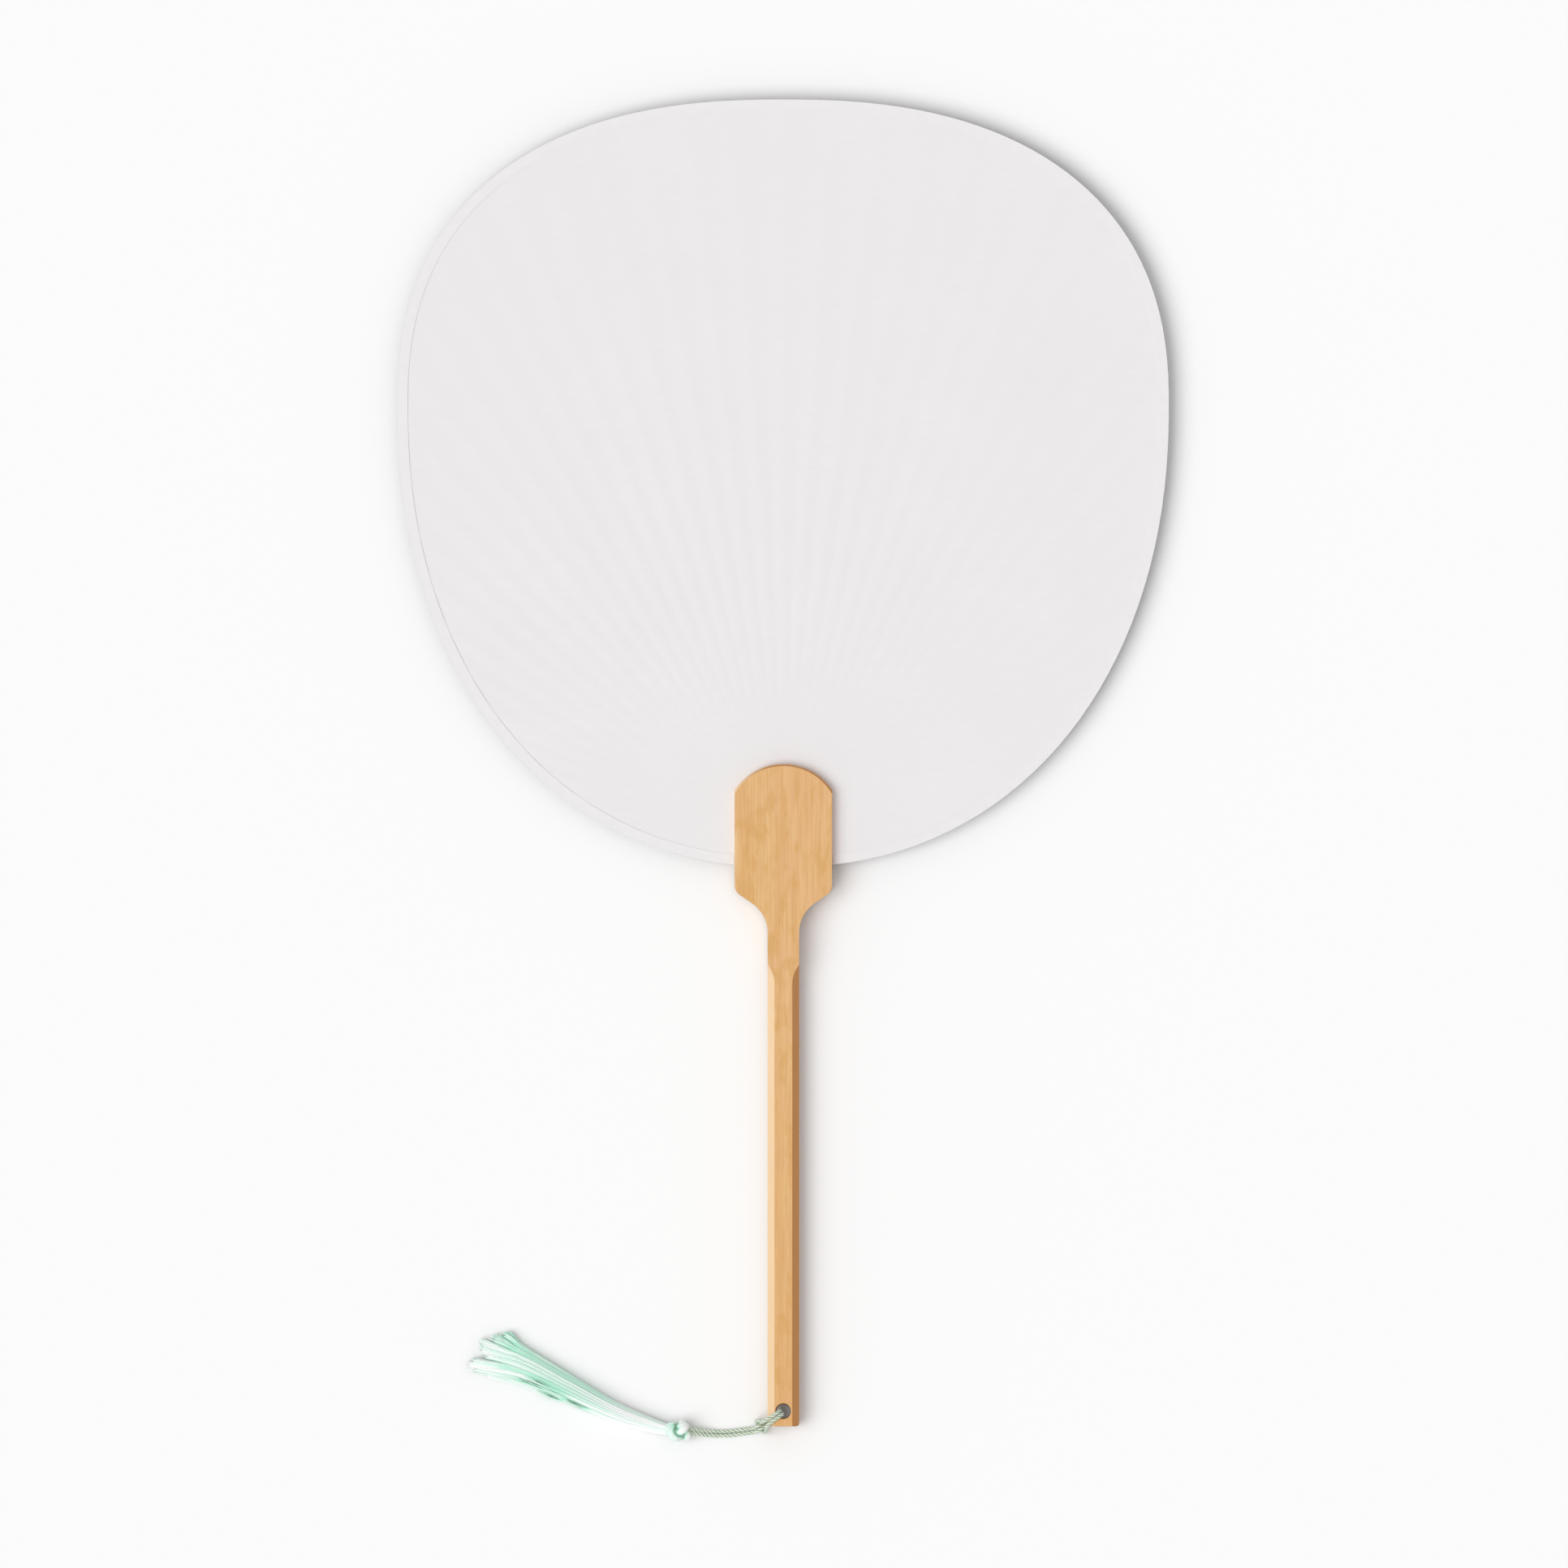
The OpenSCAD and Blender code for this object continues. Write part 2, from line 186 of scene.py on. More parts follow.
# Each sheet is a spoke spun round, with its length drawn out to the outline
for name, side in (("front_paper", 1), ("back_paper", -1)):
    bm = bmesh.new()
    spoke = [bm.verts.new((0, i / out_steps, 0)) for i in range(out_steps + 1)]
    spoke += [bm.edges.new(pair) for pair in zip(spoke, spoke[1:])]
    bmesh.ops.spin(bm, geom=spoke, cent=(0, 0, 0), axis=(0, 0, -1), angle=2 * math.pi,
                   steps=around_steps, use_merge=True)
    bmesh.ops.remove_doubles(bm, verts=bm.verts, dist=1e-6)
    reach_at = {}
    for v in bm.verts:
        angle = math.atan2(v.co.x, v.co.y)
        key = round(angle, 5)
        if key not in reach_at:
            reach_at[key] = rim_distance(angle, fold_t)
        reach = v.co.length * reach_at[key]
        drop = sunk(angle, reach) * min(1, (1 - v.co.length) * reach_at[key] / rim_hold)
        v.co = Vector((reach * math.sin(angle), rib_y + reach * math.cos(angle),
                       side * (rib_half_t + paper_t - drop))) * MM
    bmesh.ops.recalc_face_normals(bm, faces=bm.faces)
    if (bm.faces[:][0].normal.z > 0) != (side > 0):
        bmesh.ops.reverse_faces(bm, faces=bm.faces)
    bmesh.ops.solidify(bm, geom=bm.faces[:], thickness=paper_t * MM)
    paper = finished(name + "_sheet", bm, washi, "fan")
    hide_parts(name)


# Edge binding: a strip of the same paper, folded over the leaf's rim and pasted down on both faces.
# It ends on each side of the handle's head. Its solid is kept as it is.

# Pasted paper: as pale as the sheets, with a mottle 3 mm wide from the paste.
strip, shader = surface("pasted_paper_strip")
shader.inputs["Roughness"].default_value = 0.8
place = add(strip, "TexCoord", {})
fibre = add(strip, "TexNoise", {"Vector": place.outputs["Object"], "Scale": 300.0, "Detail": 3.0})
tint = add(strip, "Mix", {
    0: fibre.outputs["Fac"], 6: linear("#E9E6E7"), 7: linear("#F0EDEE")}, data_type="RGBA")
strip.node_tree.links.new(tint.outputs[2], shader.inputs["Base Color"])
relief = add(strip, "Bump", {
    "Height": fibre.outputs["Fac"], "Strength": 0.15, "Distance": 0.1 * MM})
strip.node_tree.links.new(relief.outputs[0], shader.inputs["Normal"])
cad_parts["edge_binding"].data.materials.clear()
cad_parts["edge_binding"].data.materials.append(strip)


# Handle: one piece of bamboo, split, planed flat and slotted at its head for the leaf.
# Its four long edges are bevelled, every edge is eased with sandpaper and the wood is waxed.
# The cord's hole is bored near the butt.
hole_y = -199.675
# Painted shade in the bore: full within the first radius, none beyond the second, in mm
bore_shade_full_r = 2.2
bore_shade_edge_r = 2.5
eased_by = 0.25
# An edge is eased where the wood turns by more than this
edge_angle = math.radians(24)
# Places along the handle where its long faces are cut across before that
cuts = (-20, -40, -52, -60, -70, -90, -185)

# Sanded, waxed bamboo: warm straw with long bands and fibres, and the soft gloss of wax.
bamboo, shader = surface("sanded_waxed_bamboo")
shader.inputs["Roughness"].default_value = 0.38
shader.inputs["Coat Weight"].default_value = 0.15
shader.inputs["Coat Roughness"].default_value = 0.3
place = add(bamboo, "TexCoord", {})
# Soft bands 3 mm wide and 60 mm long, a blush 18 mm across, and fibres drawn 0.45 mm wide, which
# are 0.2 mm on bamboo
bands = add(bamboo, "Mapping", {"Vector": place.outputs["Object"], "Scale": (340, 16, 340)})
band = add(bamboo, "TexNoise", {
    "Vector": bands.outputs[0], "Scale": 1.0, "Detail": 3.0, "Distortion": 0.6})
fibres = add(bamboo, "Mapping", {"Vector": place.outputs["Object"], "Scale": (2200, 55, 2200)})
fibre = add(bamboo, "TexNoise", {"Vector": fibres.outputs[0], "Scale": 1.0, "Detail": 2.0})
blush = add(bamboo, "TexNoise", {"Vector": place.outputs["Object"], "Scale": 55.0, "Detail": 1.0})
band_share = add(bamboo, "MapRange", {
    "Value": band.outputs["Fac"], "From Min": 0.32, "From Max": 0.68})
fibre_share = add(bamboo, "MapRange", {
    "Value": fibre.outputs["Fac"], "From Min": 0.38, "From Max": 0.66, "To Max": 0.4})
ground = add(bamboo, "Mix", {
    0: band_share.outputs["Result"], 6: linear("#DCAA60"), 7: linear("#E8C384")},
    data_type="RGBA")
blushed = add(bamboo, "Mix", {
    0: blush.outputs["Fac"], 6: ground.outputs[2], 7: linear("#E6B382")}, data_type="RGBA")
# Blotches 2.4 mm wide and 7 mm long, where the wax went in deeper
blotches = add(bamboo, "Mapping", {"Vector": place.outputs["Object"], "Scale": (420, 150, 420)})
blotch = add(bamboo, "TexNoise", {"Vector": blotches.outputs[0], "Scale": 1.0, "Detail": 2.0})
blotch_share = add(bamboo, "MapRange", {
    "Value": blotch.outputs["Fac"], "From Min": 0.48, "From Max": 0.7, "To Max": 0.75})
blotched = add(bamboo, "Mix", {
    0: blotch_share.outputs["Result"], 6: blushed.outputs[2], 7: linear("#D6A45A")},
    data_type="RGBA")
grain = add(bamboo, "Mix", {
    0: fibre_share.outputs["Result"], 6: blotched.outputs[2], 7: linear("#CC9150")},
    data_type="RGBA")
# The wax has yellowed towards the held end
along = add(bamboo, "SeparateXYZ", {0: place.outputs["Object"]})
aged = add(bamboo, "MapRange", {
    "Value": along.outputs["Y"], "From Min": -0.06, "From Max": -0.2, "To Max": 0.4})
waxed = add(bamboo, "Mix", {
    0: aged.outputs["Result"], 6: grain.outputs[2], 7: linear("#D99F5A")}, data_type="RGBA")
# End grain, round the head's arched top and at the butt, soaks up more wax and looks browner.
# On the arched top, which faces away from the lamp, this brown is also painted shade
facing = add(bamboo, "SeparateXYZ", {0: place.outputs["Normal"]})
endways = add(bamboo, "Math", {0: facing.outputs["Y"]}, operation="ABSOLUTE")
end_grain_and_shade_share = add(bamboo, "MapRange", {
    "Value": endways.outputs[0], "From Min": 0.15, "From Max": 0.6, "To Max": 0.75})
end_grain_and_shaded = add(bamboo, "Mix", {
    0: end_grain_and_shade_share.outputs["Result"], 6: waxed.outputs[2], 7: linear("#B97B3F")}, data_type="RGBA")
# Painted light and shade: the left-hand bevels, which face the lamp, are painted paler,
# the right-hand ones, which face away from it, are painted browner
bevel_highlight_share = add(bamboo, "MapRange", {
    "Value": facing.outputs["X"], "From Min": -0.2, "From Max": -0.6, "To Max": 0.7})
bevel_highlit = add(bamboo, "Mix", {
    0: bevel_highlight_share.outputs["Result"], 6: end_grain_and_shaded.outputs[2], 7: linear("#F4D8B2")}, data_type="RGBA")
bevel_shade_share = add(bamboo, "MapRange", {
    "Value": facing.outputs["X"], "From Min": 0.2, "From Max": 0.6, "To Max": 0.85})
bevel_shaded = add(bamboo, "Mix", {
    0: bevel_shade_share.outputs["Result"], 6: bevel_highlit.outputs[2], 7: linear("#BE7A30")}, data_type="RGBA")
# The hole's wall is painted nearly black, as painted shade deep in the bore
from_hole_axis = add(bamboo, "VectorMath", {
    0: place.outputs["Object"], 1: (0, hole_y * MM, 0)}, operation="SUBTRACT")
flat = add(bamboo, "VectorMath", {0: from_hole_axis.outputs[0], 1: (1, 1, 0)}, operation="MULTIPLY")
off_axis = add(bamboo, "VectorMath", {0: flat.outputs[0]}, operation="LENGTH")
bore_shade_mask = add(bamboo, "MapRange", {
    "Value": off_axis.outputs["Value"], "From Min": bore_shade_edge_r * MM,
    "From Max": bore_shade_full_r * MM})
bore_shaded = add(bamboo, "Mix", {
    0: bore_shade_mask.outputs["Result"], 6: bevel_shaded.outputs[2], 7: linear("#2C2620")}, data_type="RGBA")
bamboo.node_tree.links.new(bore_shaded.outputs[2], shader.inputs["Base Color"])
relief = add(bamboo, "Bump", {
    "Height": fibre.outputs["Fac"], "Strength": 0.15, "Distance": 0.1 * MM})
bamboo.node_tree.links.new(relief.outputs[0], shader.inputs["Normal"])

blank = bmesh.new()
blank.from_mesh(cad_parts["handle"].data)
bmesh.ops.remove_doubles(blank, verts=blank.verts, dist=1e-6)
bmesh.ops.dissolve_limit(
    blank, angle_limit=math.radians(0.5), verts=blank.verts, edges=blank.edges)
# Cut so, no face reaches round a curve and far along the stick, which would fold it at the bevel
for cut_y in cuts:
    bmesh.ops.bisect_plane(
        blank, geom=blank.verts[:] + blank.edges[:] + blank.faces[:], dist=1e-7,
        plane_co=(0, cut_y * MM, 0), plane_no=(0, 1, 0))
sharp = [e for e in blank.edges if e.calc_face_angle(0) > edge_angle]
bmesh.ops.bevel(
    blank, geom=sharp, offset=eased_by * MM, offset_type="OFFSET", affect="EDGES", segments=2,
    profile=0.5, material=-1, clamp_overlap=True)
bmesh.ops.triangulate(blank, faces=blank.faces)
handle = finished("bamboo_handle", blank, bamboo, "fan")
flats = handle.modifiers.new("flats", "WEIGHTED_NORMAL")
flats.keep_sharp = True
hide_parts("handle")


# Cord: a limp cord of twisted rayon, 1.2 mm thick, doubled and hitched through the handle's hole.
# It is one cord from the tassel's knot and back to it, of three plies twisted round each other. It
# is laid here in its two like halves, which meet in the middle of the fold.
cord_d = 1.2
ply_count = 3
ply_groove = 0.2
ply_turn = 4.2
cord_sides = 24
ring_step = 0.25
lie_z = -4.3
table_z = lie_z - cord_d / 2
hitch_angle = math.radians(214.7)
# Steps of the curve at each point of its route
bend_steps = 8

# The fold goes round the legs, over the front face, through the hole and out behind.
# Its points are along the hitch from the hole, across it and up, as in the part's source.
fold_half = [
    (8.8, 0.9, lie_z), (8.7, 2.25, -2.95), (8.1, 2.25, -1.1), (7.5, 1.6, 1), (7.3, 1, 2.9),
    (5.9, 0.7, 4.3), (3.9, 0.65, 4.3), (1.9, 0.65, 4.3), (0.6, 0.65, 3), (0.6, 0.65, 0),
    (0.6, 0.65, -3), (1.9, 0.65, lie_z), (3.9, 0.65, lie_z), (6.5, 0.65, lie_z),
    (7.9, 0.65, -2.65), (9.6, 0.65, -2.65)]
end_1 = [(11.1, 0.24, lie_z), (13.89, -1.16, lie_z)]
end_2 = [(10.9, -1.04, lie_z), (13.35, -2.35, lie_z)]

# The legs lie side by side, climb to the knot and end inside it.
leg_1 = [(-17.2, -207.3, lie_z), (-22, -207.25, -4.2), (-26, -206.8, -2.8), (-28.35, -206.6, -2),
         (-30.2, -206.5, -1.7)]
leg_2 = [(-17.2, -206, lie_z), (-22, -205.95, -4.2), (-26, -205.5, -2.8), (-28.35, -205.3, -2),
         (-30.2, -205.4, -1.7)]


def from_hole(points):
    """Points of the hitch, turned to its direction on the handle."""
    turn = Matrix.Rotation(hitch_angle, 4, "Z")
    return [turn @ Vector(p) + Vector((0, hole_y, 0)) for p in points]


def eased(points, samples):
    """A soft curve that leaves each point of a route as a rounded corner, in metres."""
    p = [Vector(q) * MM for q in points]
    curve = [p[0]]
    for before, here, after in zip(p, p[1:], p[2:]):
        a, b = (before + here) / 2, (here + after) / 2
        for t in (j / samples for j in range(samples)):
            curve.append((1 - t) ** 2 * a + 2 * t * (1 - t) * here + t * t * b)
    return curve + [(p[-2] + p[-1]) / 2, p[-1]]


def length_of(curve):
    return sum((b - a).length for a, b in zip(curve, curve[1:]))


def lay(verts, curve, up=Vector((0.1, 0.2, 1))):
    """Lays straight goods that run up Z along a curve, turning them as little as it allows."""
    marks, sides, reached = [], [], 0
    for i, here in enumerate(curve):
        ahead = (curve[min(i + 1, len(curve) - 1)] - curve[max(i - 1, 0)]).normalized()
        up = (up - up.dot(ahead) * ahead).normalized()
        reached += (here - curve[max(i - 1, 0)]).length
        marks.append(reached)
        sides.append((up, ahead.cross(up)))
    at = 0
    for v in sorted(verts, key=lambda v: v.co.z):
        while at < len(marks) - 2 and marks[at + 1] < v.co.z:
            at += 1
        t = (v.co.z - marks[at]) / (marks[at + 1] - marks[at])
        one, two = (sides[at][k].lerp(sides[at + 1][k], t) for k in (0, 1))
        v.co = curve[at].lerp(curve[at + 1], t) + v.co.x * one + v.co.y * two


def twisted(bm, long, diameter, groove=ply_groove):
    """A straight length of three-ply cord up Z: a lobed ring turned and raised at once.
    Its filaments' place round the ring and along it is kept for the material."""
    lobe = bm.verts.layers.float.new("lobe")
    filament = bm.verts.layers.float_vector.new("filament")
    ring = bmesh.ops.create_circle(bm, segments=cord_sides, radius=diameter / 2)["verts"]
    for v in ring:
        v[filament] = v.co / MM
        v[lobe] = 0.5 + 0.5 * math.cos(ply_count * math.atan2(v.co.y, v.co.x))
        v.co *= 1 - groove * (1 - v[lobe]) ** 2
    steps = round(long / (ring_step * MM))
    edges = list({e for v in ring for e in v.link_edges})
    bmesh.ops.spin(
        bm, geom=ring + edges, cent=(0, 0, 0), axis=(0, 0, 1), dvec=(0, 0, long / steps),
        angle=2 * math.pi * long / (ply_turn * MM), steps=steps)
    bmesh.ops.holes_fill(bm, edges=[e for e in bm.edges if e.is_boundary], sides=0)
    for v in bm.verts:
        v[filament] = Vector((v[filament].x, v[filament].y, v.co.z / MM))
    return bm.verts[:]


# Twisted rayon cord: pale mint with a silky gloss, and dark olive painted shade down in the
# grooves between plies.
# Its filaments run with the plies, drawn 0.1 mm wide, which are a fifth of that on the real cord.
rayon_cord, shader = surface("twisted_rayon_cord")
shader.inputs["Roughness"].default_value = 0.45
shader.inputs["Sheen Weight"].default_value = 0.4
lobe = add(rayon_cord, "Attribute", {}, attribute_name="lobe")
filament = add(rayon_cord, "Attribute", {}, attribute_name="filament")
drawn = add(rayon_cord, "Mapping", {"Vector": filament.outputs["Vector"], "Scale": (9, 9, 0.5)})
hair = add(rayon_cord, "TexNoise", {"Vector": drawn.outputs[0], "Scale": 1.0, "Detail": 2.0})
shine = add(rayon_cord, "MapRange", {
    "Value": hair.outputs["Fac"], "From Min": 0.36, "From Max": 0.64})
# Painted shade: down in the grooves between plies the colour turns dark olive
groove_shade_mask = add(rayon_cord, "MapRange", {
    "Value": lobe.outputs["Fac"], "From Min": 0.0, "From Max": 0.4})
tint = add(rayon_cord, "Mix", {
    0: shine.outputs["Result"], 6: linear("#A9CDAA"), 7: linear("#FFFFF8")}, data_type="RGBA")
ply = add(rayon_cord, "Mix", {
    0: groove_shade_mask.outputs["Result"], 6: linear("#76804C"), 7: tint.outputs[2]}, data_type="RGBA")
rayon_cord.node_tree.links.new(ply.outputs[2], shader.inputs["Base Color"])
relief = add(rayon_cord, "Bump", {
    "Height": hair.outputs["Fac"], "Strength": 0.8, "Distance": 0.1 * MM})
rayon_cord.node_tree.links.new(relief.outputs[0], shader.inputs["Normal"])

halves = [
    ("cord_half_1", from_hole([(8.8, 0, lie_z)] + fold_half + end_1) + leg_1),
    ("cord_half_2", from_hole([(8.8, 0, lie_z)] + [(u, -v, w) for u, v, w in fold_half] + end_2)
     + leg_2)]
cords = []
for name, route in halves:
    curve = eased(route, bend_steps)
    bm = bmesh.new()
    lay(twisted(bm, length_of(curve), cord_d * MM), curve)
    half = finished(name, bm, rayon_cord)
    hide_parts("cord_loop", "cord_leg_1" if name.endswith("1") else "cord_leg_2")
    cords.append((half, curve))


# Knot: the doubled cord and the tassel's threads, tied hard into a round knot 7 mm across.
# Two soft strands run side by side round a trefoil, pulled tight over a filled middle.
knot_middle = Vector((-32.3, -205.85, -1.15))
knot_reach = 2.5
knot_height = 1.2
knot_turn = (0.75, 0.5, 0.35)
knot_stretch = 1.16
filling_r = 2.5
strand_d = 2.2
strand_steps = 96
strand_groove = 0.07
# Each strand lies off the trefoil's middle by this share of its thickness
strand_off = 0.33
# Nearer than crease_r to the knot's middle it turns dark green as painted shade, fully so
# crease_depth further in
crease_r = 3
crease_depth = 0.6
knot_paleness = 0.75
paler_each_mm = 0.1
crease_painted_shade = 2.5

# Rayon thread: mint and near-white filaments side by side, with a long silky highlight, and dark
# green painted shade where its tone is set lowest, in the knot's creases and the tassel's gaps,
# with a slow change of tone every 14 mm. On the knot its filaments are drawn 0.17 mm wide, where
# they are finer.
rayon_thread, shader = surface("glossy_rayon_thread")
shader.inputs["Roughness"].default_value = 0.35
shader.inputs["Coat Weight"].default_value = 0.6
shader.inputs["Coat Roughness"].default_value = 0.25
shader.inputs["Sheen Weight"].default_value = 1
shader.inputs["Sheen Roughness"].default_value = 0.4
pale = add(rayon_thread, "Attribute", {}, attribute_name="tone")
place = add(rayon_thread, "TexCoord", {})
streak = add(rayon_thread, "TexNoise", {"Vector": place.outputs["Object"], "Scale": 70.0})
mixed = add(rayon_thread, "Math", {0: streak.outputs["Fac"], 1: -0.5, 2: pale.outputs["Fac"]},
            operation="MULTIPLY_ADD")
filament = add(rayon_thread, "Attribute", {}, attribute_name="filament")
drawn = add(rayon_thread, "Mapping", {"Vector": filament.outputs["Vector"], "Scale": (6, 6, 0.4)})
hair = add(rayon_thread, "TexNoise", {"Vector": drawn.outputs[0], "Scale": 1.0, "Detail": 2.0})
lined = add(rayon_thread, "Math", {0: hair.outputs["Fac"], 1: 1.2, 2: mixed.outputs[0]},
            operation="MULTIPLY_ADD")
clear = add(rayon_thread, "MapRange", {
    "Value": lined.outputs[0], "From Min": 0.25, "From Max": 1.4})
hue = add(rayon_thread, "Mix", {
    0: clear.outputs["Result"], 6: linear("#B8F2D9"), 7: linear("#FFFFFF")}, data_type="RGBA")
# Painted shade: where the tone is set lowest the threads turn dark green
deep_shade_share = add(rayon_thread, "MapRange", {
    "Value": mixed.outputs[0], "From Min": -0.8, "From Max": -1.8})
deep_shaded = add(rayon_thread, "Mix", {
    0: deep_shade_share.outputs["Result"], 6: hue.outputs[2], 7: linear("#417A57")}, data_type="RGBA")
rayon_thread.node_tree.links.new(deep_shaded.outputs[2], shader.inputs["Base Color"])
relief = add(rayon_thread, "Bump", {
    "Height": hair.outputs["Fac"], "Strength": 0.4, "Distance": 0.1 * MM})
rayon_thread.node_tree.links.new(relief.outputs[0], shader.inputs["Normal"])

knot_bm = bmesh.new()
tone = knot_bm.verts.layers.float.new("tone")
knot_bm.verts.layers.float_vector.new("filament")
bmesh.ops.create_uvsphere(knot_bm, u_segments=32, v_segments=16, radius=filling_r * MM)
turn = (Matrix.Rotation(knot_turn[0], 3, "X") @ Matrix.Rotation(knot_turn[1], 3, "Y")
        @ Matrix.Rotation(knot_turn[2], 3, "Z"))
for side in (-1, 1):
    route = []
    for i in range(strand_steps):
        t = 2 * math.pi * i / strand_steps
        reach = knot_reach / 3
        route.append(turn @ Vector((
            reach * (math.sin(t) + 2 * math.sin(2 * t)),
            reach * (math.cos(t) - 2 * math.cos(2 * t)),
            -knot_height * math.sin(3 * t) + side * strand_d * strand_off)))
    # The strand's two ends meet underneath, where it is lowest
    low = min(range(strand_steps), key=lambda i: route[i].z)
    route = route[low:] + route[:low]
    curve = [p * MM for p in route + route[:2]]
    strand = bmesh.new()
    lay(twisted(strand, length_of(curve), strand_d * MM, strand_groove), curve)
    loose = bpy.data.meshes.new("strand")
    strand.to_mesh(loose)
    strand.free()
    knot_bm.from_mesh(loose)
# Near-white where the strands stand out, mint on the tassel's side, and dark green painted shade
# down in the creases.
for v in knot_bm.verts:
    deep = min(1, max(0, (crease_r - v.co.length / MM) / crease_depth))
    v[tone] = knot_paleness + paler_each_mm * v.co.x / MM - crease_painted_shade * deep
bmesh.ops.scale(knot_bm, verts=knot_bm.verts, vec=(knot_stretch, 1, 1))
bmesh.ops.translate(knot_bm, verts=knot_bm.verts, vec=knot_middle * MM)
knot = finished("cord_knot", knot_bm, rayon_thread, "tassel")
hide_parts("tassel_knot")

# The legs lift off the table over five millimetres of their length.
# Each half's placement is baked into its mesh.
for half, curve in cords:
    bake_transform(half)


# Tassel: thousands of glossy rayon threads, bound under the knot and combed into nine locks.
# They lie on the table, fan out to the left and end in uneven cut tips. Only the outer threads and
# the tips are drawn, twice as thick as they are, and a solid strand fills each lock.
thread_d = 0.3
thread_rings = 12
threads_a_lock = 112
# Edges of the skirt down its length, with its height and how high it lies over the table. It starts
# inside the knot: x, upper y, lower y, height, lie
skirt_edges = [
    (-33.6, -204.5, -207.1, 2.6, 2.4), (-36.6, -203.4, -207, 3.5, 1.3),
    (-41, -201.5, -206.1, 4.7, 0.3), (-51, -197.2, -204, 6, 0), (-61, -191.2, -199.8, 6.2, 0),
    (-71, -185, -195.9, 5.8, 0), (-81, -178.9, -191.8, 5, 0)]
# Tips of the locks from the lower edge to the upper one, and how wide each bunch ends: x, y, width
lock_tips = [
    (-91, -188, 1.1), (-94.5, -187, 1.1), (-96.6, -185.6, 1.2), (-95, -184.5, 1),
    (-91, -182.2, 1.3), (-92.6, -180.6, 1.4), (-92.4, -178.7, 1.4), (-88.6, -177.3, 1.2),
    (-85.2, -176.2, 1.1)]
# How far a thread may run past its lock's tip, and how wide and high it may lie there
tip_uneven = 0.7
tip_spread = 0.9
tip_height = 1.3
# Threads lie up to this far from their lock's middle, in widths of a lock, so locks overlap
lock_spread = 0.78
# How far the skirt thins towards its two edges, where 1 would bring it to nothing
thinned = 0.85
# Loose threads wave in bends about 9 mm long, which grow towards the tips
wave_growth = 0.08
wave_rate = (0.11, 0.13)
lock_unlike = 0.45
# The solid strand fills this share of its lock
filled = 0.9
fill_sides = 24
# How pale each lock is, from the lower edge to the upper one, and the solid strands inside
lock_paleness = (0.25, 0, 0.15, -0.15, -0.1, 0, -0.1, -0.3, -0.25)
strand_paleness = 0.5
strand_streak = 0.25
# The neck and the tips are paler, partly paler threads and partly a painted highlight: from the
# first x on, and fully so after the second length
neck_from, neck_over, neck_paler_and_highlit = -62, 12, 0.6
tips_from, tips_over, tips_paler_and_highlit = -85, 6, 0.35
# Places along the lower edge where the threads part, with dark green painted shade inside: x, y.
# They run the way of the skirt there, and fade over a squared length along it and across it
parted_shade_spots = [(-77, -190.9), (-72.2, -194.3), (-63.8, -198)]
gap_way = (0.9, 0.4)
gap_fade = (3.5, 0.8)
gap_painted_shade = 6
random.seed(7)


def down_skirt(number, across, high, uneven=0, wave=None):
    """The way of a thread from the neck to its tip, by its lock and its place in its section."""
    points = []
    for x, upper, lower, height, lie in skirt_edges:
        share = (number + 0.5 + across * lock_spread) / len(lock_tips)
        share = min(0.99, max(0.01, share))
        bulge = math.sqrt(1 - (2 * share - 1) ** 2 * thinned) * (height - thread_d) / 2
        points.append(Vector((x, lower + (upper - lower) * share,
                              table_z + lie + thread_d / 2 + bulge * (1 + high))))
    tip_x, tip_y, tip_w = lock_tips[number]
    end = Vector((tip_x + uneven * tip_uneven, tip_y + across * tip_w * tip_spread,
                  table_z + thread_d / 2 + tip_height * (1 + high)))
    points += [points[-1].lerp(end, 0.5) + Vector((0, 0, 0.2)), end]
    if wave is not None:
        for i, p in enumerate(points[3:], 3):
            loose, lock = wave_growth * (i - 2), number * lock_unlike
            p.y += loose * noise.noise(Vector((p.x * wave_rate[0], wave, lock)))
            p.z += loose * 0.5 * noise.noise(Vector((p.x * wave_rate[1], wave + 5, lock)))
            p.z = max(p.z, table_z + thread_d / 2)
    return eased(points, 4)


# One straight thread, four-sided, a unit long and thick
template = bmesh.new()
ring = bmesh.ops.create_circle(template, segments=4, radius=0.5)["verts"]
bmesh.ops.spin(
    template, geom=ring + list({e for v in ring for e in v.link_edges}), cent=(0, 0, 0),
    axis=(0, 0, 1), dvec=(0, 0, 1), angle=math.pi / 2, steps=thread_rings)
bmesh.ops.holes_fill(template, edges=[e for e in template.edges if e.is_boundary], sides=0)
one_thread = bpy.data.meshes.new("thread")
template.to_mesh(one_thread)
template.free()

skirt = bmesh.new()
tone = skirt.verts.layers.float.new("tone")
# The solid strand in each lock: a ring at each step of the threads' way, but for the loose tip
for number, lock_tone in enumerate(lock_paleness):
    ways = [down_skirt(number, filled * math.cos(2 * math.pi * k / fill_sides),
                       filled * math.sin(2 * math.pi * k / fill_sides))[:-1]
            for k in range(fill_sides)]
    ring = bmesh.ops.create_circle(skirt, segments=fill_sides, radius=1)["verts"]
    bmesh.ops.spin(
        skirt, geom=ring + list({e for v in ring for e in v.link_edges}), cent=(0, 0, 0),
        axis=(0, 0, 1), dvec=(0, 0, 1), angle=0, steps=len(ways[0]) - 1)
    skirt.verts.ensure_lookup_table()
    for v in skirt.verts[-fill_sides * len(ways[0]):]:
        k = round(math.atan2(v.co.y, v.co.x) / (2 * math.pi) * fill_sides) % fill_sides
        # Each side of the strand has a shade of its own, as bundles of filaments have
        v[tone] = strand_paleness + lock_tone + strand_streak * math.sin(k * 2.4 + number)
        v.co = ways[k][round(v.co.z)]
bmesh.ops.holes_fill(skirt, edges=[e for e in skirt.edges if e.is_boundary], sides=0)

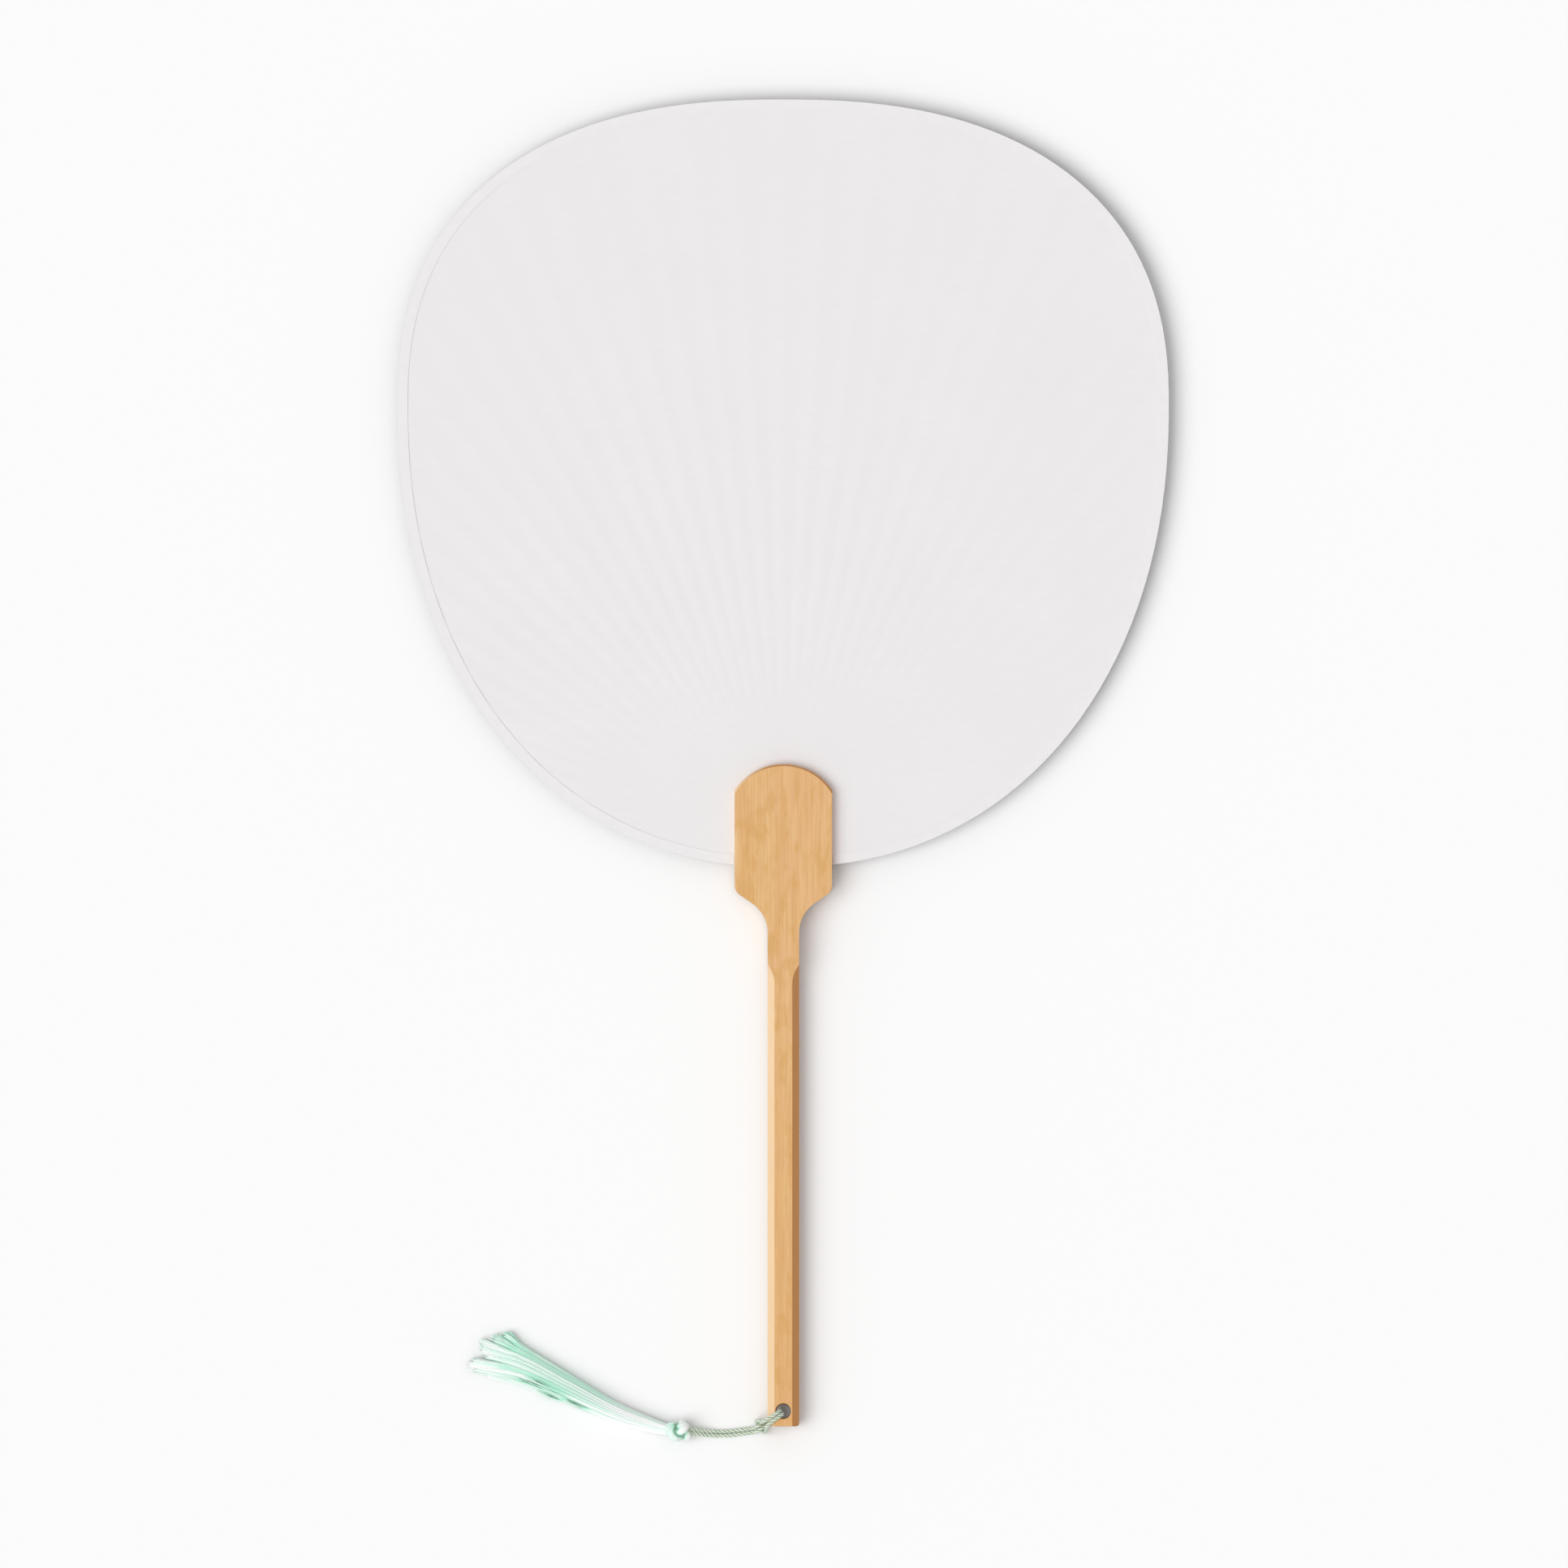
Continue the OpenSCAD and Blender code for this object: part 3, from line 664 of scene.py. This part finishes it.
# The loose threads: two of three lie at the outside of their lock, the others anywhere in it
filling = len(skirt.verts)
threads = []
for number, lock_tone in enumerate(lock_paleness):
    for k in range(threads_a_lock):
        skirt.from_mesh(one_thread)
        out, around = math.sqrt(random.random()), random.uniform(0, 2 * math.pi)
        if k % 3:
            out = random.uniform(0.9, 1.02)
        threads.append((number, out * math.cos(around), out * math.sin(around),
                        random.gauss(0, 1), random.uniform(0, 9), random.random() + lock_tone))
size = len(one_thread.vertices)
skirt.verts.ensure_lookup_table()
for place, (number, across, high, uneven, wave, pale) in enumerate(threads):
    curve = down_skirt(number, across, high, uneven, wave)
    scale = length_of(curve) / thread_rings
    verts = skirt.verts[filling + place * size:filling + (place + 1) * size]
    for v in verts:
        # A hair short of its curve, so that its end is laid on it too
        v.co = Vector((v.co.x * thread_d * MM, v.co.y * thread_d * MM, v.co.z * scale * 0.9999))
        v[tone] = pale
    lay(verts, curve, Vector((0, 0.3, 1)))

for v in skirt.verts:
    x, y = v.co.x / MM, v.co.y / MM
    # Paler near the neck and the tips, partly as a painted highlight
    near_neck = min(1, max(0, (x - neck_from) / neck_over))
    near_tip = min(1, max(0, (tips_from - x) / tips_over))
    v[tone] += neck_paler_and_highlit * near_neck + tips_paler_and_highlit * near_tip
    # Painted shade: dark green where the threads part
    for gap_x, gap_y in parted_shade_spots:
        away, beside = x - gap_x, y - gap_y
        along_gap = gap_way[0] * away + gap_way[1] * beside
        across_gap = gap_way[0] * beside - gap_way[1] * away
        off = along_gap ** 2 / gap_fade[0] + across_gap ** 2 / gap_fade[1]
        v[tone] -= gap_painted_shade * math.exp(-off)

tassel = finished("tassel_threads", skirt, rayon_thread, "tassel")
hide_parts("tassel_skirt")


# Table: a plain pale floor that the cord and tassel lie on. It takes the fan's soft shadow.
# The camera sees it near-white, as in the photograph, but it throws less light on the fan.
# Half its width in metres, and its gap under the cord in millimetres
floor_half_w = 3
floor_gap = 0.02
floor_bm = bmesh.new()
bmesh.ops.create_grid(floor_bm, x_segments=1, y_segments=1, size=floor_half_w)
bmesh.ops.translate(floor_bm, verts=floor_bm.verts, vec=(0, 0, (table_z - floor_gap) * MM))
floor_mesh = bpy.data.meshes.new("table")
floor_bm.to_mesh(floor_mesh)
floor_bm.free()
floor = bpy.data.objects.new("table", floor_mesh)
bpy.context.scene.collection.objects.link(floor)

# Matt white board: no gloss at all.
matt_table, shader = surface("matt_white_table")
shader.inputs["Roughness"].default_value = 1
shader.inputs["Specular IOR Level"].default_value = 0
rays = add(matt_table, "LightPath", {})
seen = add(matt_table, "Math", {
    0: rays.outputs["Is Camera Ray"], 1: rays.outputs["Is Glossy Ray"]},
    operation="ADD", use_clamp=True)
pale = add(matt_table, "Mix", {
    0: seen.outputs[0], 6: linear("#D0D0D0"), 7: linear("#FCFCFC")}, data_type="RGBA")
matt_table.node_tree.links.new(pale.outputs[2], shader.inputs["Base Color"])
floor_mesh.materials.append(matt_table)


# Studio light: an even white room, and one large soft lamp high up on the left of the picture and
# a little towards the butt. The camera sees the room near-white where the table ends.
room_strength = 0.6
lamp_strength = 1.55
lamp_softness = math.radians(50)
lamp_from = Vector((-0.56, -0.2, 0.8))
room = bpy.data.worlds.new("room")
bpy.context.scene.world = room
room.use_nodes = True
even = room.node_tree.nodes["Background"]
even.inputs["Color"].default_value = (1, 1, 1, 1)
even.inputs["Strength"].default_value = room_strength
backdrop = add(room, "Background", {"Color": linear("#FBFBFB"), "Strength": 1.0})
rays = add(room, "LightPath", {})
seen = add(room, "Math", {
    0: rays.outputs["Is Camera Ray"], 1: rays.outputs["Is Glossy Ray"]},
    operation="ADD", use_clamp=True)
either = add(room, "MixShader", {
    0: seen.outputs[0], 1: even.outputs[0], 2: backdrop.outputs[0]})
room.node_tree.links.new(either.outputs[0], room.node_tree.nodes["World Output"].inputs[0])
lamp = bpy.data.objects.new("lamp", bpy.data.lights.new("lamp", "SUN"))
lamp.data.energy = lamp_strength
lamp.data.angle = lamp_softness
lamp.rotation_euler = lamp_from.to_track_quat("Z", "Y").to_euler()
bpy.context.scene.collection.objects.link(lamp)


# Camera: it looks straight down on the fan, as the photograph does.
# The picture is square and 483 mm wide. Its middle is near the top of the handle's head.
picture_w = 483
picture_middle = (0.2, -6.5)
camera_height = 1000
camera = bpy.data.objects.new("camera", bpy.data.cameras.new("camera"))
camera.data.type = "ORTHO"
camera.data.ortho_scale = picture_w * MM
camera.location = (picture_middle[0] * MM, picture_middle[1] * MM, camera_height * MM)
bpy.context.scene.collection.objects.link(camera)
bpy.context.scene.camera = camera

bpy.context.scene.view_settings.view_transform = "Standard"
